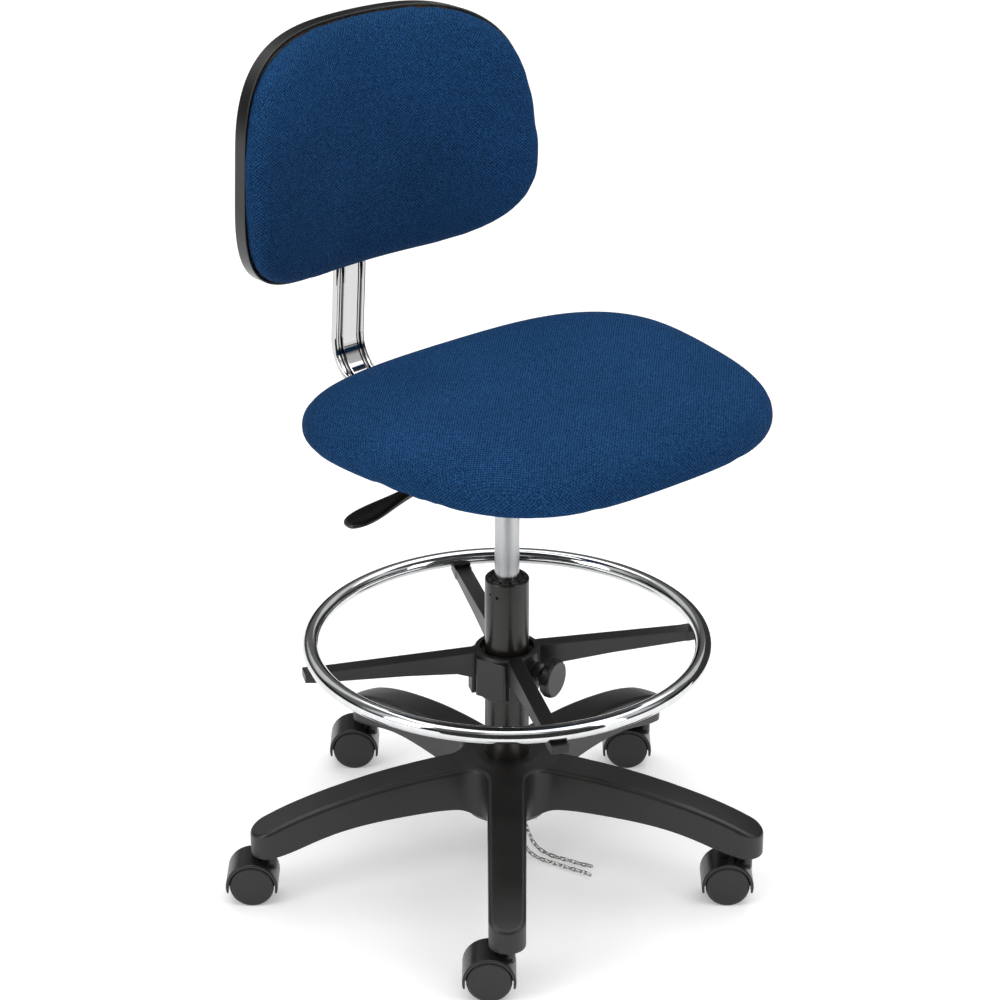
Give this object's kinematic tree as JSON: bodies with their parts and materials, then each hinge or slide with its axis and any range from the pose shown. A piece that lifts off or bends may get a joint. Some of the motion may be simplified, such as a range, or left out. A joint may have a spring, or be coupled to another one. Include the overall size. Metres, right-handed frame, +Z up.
{
  "type": "drafting chair",
  "caption": "Height-adjustable drafting chair: padded seat and back, gas lift, clamped foot ring and a star base on swivel casters.",
  "frame": {"origin": "on the floor under the axis of the column", "axes": "+Z up along the column; the sitter faces -Y, with the sitter's left at +X"},
  "size_m": [0.6118, 0.5974, 0.9581],
  "materials": {
    "black_nylon": "satin moulded",
    "caster_black": "satin moulded",
    "column_black": "semi-gloss",
    "bush_plastic": "satin",
    "satin_steel": "satin",
    "chrome": "polished",
    "zinc_steel": "zinc plated",
    "frame_black": "semi-gloss",
    "shell_plastic": "satin moulded",
    "plywood": "raw",
    "blue_fabric": "woven"
  },
  "bodies": {
    "base": {"star_base": "black_nylon", "caster_stems": "zinc_steel", "stem_grip_rings": "zinc_steel", "column_tube": "column_black", "column_guide_bush": "bush_plastic", "column_base_plate": "zinc_steel", "thrust_bearing": "zinc_steel", "chain_anchor": "zinc_steel", "ground_chain_a": "zinc_steel", "ground_chain_b": "zinc_steel"},
    "lift_rod": {"piston_rod": "chrome", "rod_clip": "zinc_steel", "piston_head": "zinc_steel"},
    "seat": {"gas_cylinder": "satin_steel", "seat_mechanism": "frame_black", "lever_pivot_pin": "zinc_steel", "seat_board": "shell_plastic", "seat_cushion": "blue_fabric", "seat_screws": "zinc_steel"},
    "valve_button": {"valve_pin": "zinc_steel"},
    "release_lever": {"lever_rod": "frame_black", "lever_paddle": "black_nylon"},
    "footring_sleeve": {"footring_liner": "bush_plastic"},
    "footring": {"footring_spider": "black_nylon", "footring_tube": "chrome", "footring_screws": "zinc_steel"},
    "footring_clamp_pad": {"footring_pad": "bush_plastic"},
    "footring_clamp_knob": {"footring_knob": "black_nylon", "footring_knob_stud": "zinc_steel"},
    "back_bar": {"back_upright": "chrome"},
    "depth_clamp_pad": {"depth_pad": "bush_plastic"},
    "depth_clamp_knob": {"depth_knob": "black_nylon"},
    "backrest": {"back_bracket": "frame_black", "back_shell": "shell_plastic", "back_board": "plywood", "back_cushion": "blue_fabric", "back_screws": "zinc_steel"},
    "height_clamp_pad": {"height_pad": "bush_plastic"},
    "height_clamp_knob": {"height_knob": "black_nylon"},
    "caster_1": {"caster_1_hood": "caster_black", "caster_1_axle": "zinc_steel"},
    "caster_1_left": {"caster_1_wheel_left": "caster_black"},
    "caster_1_right": {"caster_1_wheel_right": "caster_black"},
    "caster_2": {"caster_2_hood": "caster_black", "caster_2_axle": "zinc_steel"},
    "caster_2_left": {"caster_2_wheel_left": "caster_black"},
    "caster_2_right": {"caster_2_wheel_right": "caster_black"},
    "caster_3": {"caster_3_hood": "caster_black", "caster_3_axle": "zinc_steel"},
    "caster_3_left": {"caster_3_wheel_left": "caster_black"},
    "caster_3_right": {"caster_3_wheel_right": "caster_black"},
    "caster_4": {"caster_4_hood": "caster_black", "caster_4_axle": "zinc_steel"},
    "caster_4_left": {"caster_4_wheel_left": "caster_black"},
    "caster_4_right": {"caster_4_wheel_right": "caster_black"},
    "caster_5": {"caster_5_hood": "caster_black", "caster_5_axle": "zinc_steel"},
    "caster_5_left": {"caster_5_wheel_left": "caster_black"},
    "caster_5_right": {"caster_5_wheel_right": "caster_black"}
  },
  "joints": [
    {"name": "caster_1_swivel", "type": "hinge", "parent": "base", "child": "caster_1", "pos_m": [-0.18236, -0.21733, 0.05], "axis": [0, 0, 1], "continuous": true},
    {"name": "caster_1_left_roll", "type": "hinge", "parent": "caster_1", "child": "caster_1_left", "pos_m": [-0.1973, -0.20479, 0.025], "axis": [0.6428, 0.766, 0], "continuous": true},
    {"name": "caster_1_right_roll", "type": "hinge", "parent": "caster_1", "child": "caster_1_right", "pos_m": [-0.1973, -0.20479, 0.025], "axis": [0.6428, 0.766, 0], "continuous": true},
    {"name": "caster_2_swivel", "type": "hinge", "parent": "base", "child": "caster_2", "pos_m": [0.15034, -0.24059, 0.05], "axis": [0, 0, 1], "continuous": true},
    {"name": "caster_2_left_roll", "type": "hinge", "parent": "caster_2", "child": "caster_2_left", "pos_m": [0.1354, -0.22806, 0.025], "axis": [0.6428, 0.766, 0], "continuous": true},
    {"name": "caster_2_right_roll", "type": "hinge", "parent": "caster_2", "child": "caster_2_right", "pos_m": [0.1354, -0.22806, 0.025], "axis": [0.6428, 0.766, 0], "continuous": true},
    {"name": "caster_3_swivel", "type": "hinge", "parent": "base", "child": "caster_3", "pos_m": [0.27527, 0.06863, 0.05], "axis": [0, 0, 1], "continuous": true},
    {"name": "caster_3_left_roll", "type": "hinge", "parent": "caster_3", "child": "caster_3_left", "pos_m": [0.26033, 0.08117, 0.025], "axis": [0.6428, 0.766, 0], "continuous": true},
    {"name": "caster_3_right_roll", "type": "hinge", "parent": "caster_3", "child": "caster_3_right", "pos_m": [0.26033, 0.08117, 0.025], "axis": [0.6428, 0.766, 0], "continuous": true},
    {"name": "caster_4_swivel", "type": "hinge", "parent": "base", "child": "caster_4", "pos_m": [0.01979, 0.28301, 0.05], "axis": [0, 0, 1], "continuous": true},
    {"name": "caster_4_left_roll", "type": "hinge", "parent": "caster_4", "child": "caster_4_left", "pos_m": [0.00485, 0.29554, 0.025], "axis": [0.6428, 0.766, 0], "continuous": true},
    {"name": "caster_4_right_roll", "type": "hinge", "parent": "caster_4", "child": "caster_4_right", "pos_m": [0.00485, 0.29554, 0.025], "axis": [0.6428, 0.766, 0], "continuous": true},
    {"name": "caster_5_swivel", "type": "hinge", "parent": "base", "child": "caster_5", "pos_m": [-0.26304, 0.10628, 0.05], "axis": [0, 0, 1], "continuous": true},
    {"name": "caster_5_left_roll", "type": "hinge", "parent": "caster_5", "child": "caster_5_left", "pos_m": [-0.27798, 0.11881, 0.025], "axis": [0.6428, 0.766, 0], "continuous": true},
    {"name": "caster_5_right_roll", "type": "hinge", "parent": "caster_5", "child": "caster_5_right", "pos_m": [-0.27798, 0.11881, 0.025], "axis": [0.6428, 0.766, 0], "continuous": true},
    {"name": "seat_swivel", "type": "hinge", "parent": "base", "child": "lift_rod", "pos_m": [0, 0, 0.07], "axis": [0, 0, 1], "continuous": true},
    {"name": "seat_lift", "type": "slide", "parent": "lift_rod", "child": "seat", "axis": [0, 0, 1], "range_m": [-0.055, 0.155]},
    {"name": "lever_pull", "type": "hinge", "parent": "seat", "child": "release_lever", "pos_m": [-0.025, 0.004, 0.5245], "axis": [0, 1, 0], "range_deg": [0, 8], "stiffness_Nm_per_rad": 2, "springref_deg": -8.59},
    {"name": "valve_press", "type": "slide", "parent": "seat", "child": "valve_button", "axis": [0, 0, 1], "range_m": [-0.0042, 0]},
    {"name": "footring_height", "type": "slide", "parent": "base", "child": "footring_sleeve", "axis": [0, 0, 1], "range_m": [-0.07, 0.08]},
    {"name": "footring_turn", "type": "hinge", "parent": "footring_sleeve", "child": "footring", "pos_m": [0, 0, 0.25], "axis": [0, 0, 1], "continuous": true},
    {"name": "footring_clamp_travel", "type": "slide", "parent": "footring", "child": "footring_clamp_pad", "axis": [0.3256, -0.9455, 0], "range_m": [0, 0.0025]},
    {"name": "footring_knob_turn", "type": "hinge", "parent": "footring_clamp_pad", "child": "footring_clamp_knob", "pos_m": [0.01953, -0.05673, 0.2515], "axis": [0.3256, -0.9455, 0], "range_deg": [0, 720]},
    {"name": "back_depth", "type": "slide", "parent": "seat", "child": "back_bar", "axis": [0, 1, 0], "range_m": [-0.04, 0.02]},
    {"name": "depth_clamp_travel", "type": "slide", "parent": "seat", "child": "depth_clamp_pad", "axis": [0, 0, -1], "range_m": [0, 0.0025]},
    {"name": "depth_knob_turn", "type": "hinge", "parent": "depth_clamp_pad", "child": "depth_clamp_knob", "pos_m": [0, 0.112, 0.485], "axis": [0, 0, -1], "range_deg": [0, 720]},
    {"name": "back_height", "type": "slide", "parent": "back_bar", "child": "backrest", "axis": [0, 0.0349, 0.9994], "range_m": [-0.04, 0.06]},
    {"name": "height_clamp_travel", "type": "slide", "parent": "backrest", "child": "height_clamp_pad", "axis": [0, 0.9994, -0.0349], "range_m": [0, 0.0025]},
    {"name": "height_knob_turn", "type": "hinge", "parent": "height_clamp_pad", "child": "height_clamp_knob", "pos_m": [0, 0.31379, 0.79809], "axis": [0, 0.9994, -0.0349], "range_deg": [0, 720]}
  ],
  "couplings": [
    {"joint": "valve_press", "follows": "lever_pull", "m_per_rad": -0.029},
    {"joint": "footring_clamp_travel", "follows": "footring_knob_turn", "m_per_rad": 0.000198},
    {"joint": "depth_clamp_travel", "follows": "depth_knob_turn", "m_per_rad": 0.000198},
    {"joint": "height_clamp_travel", "follows": "height_knob_turn", "m_per_rad": 0.000198}
  ]
}
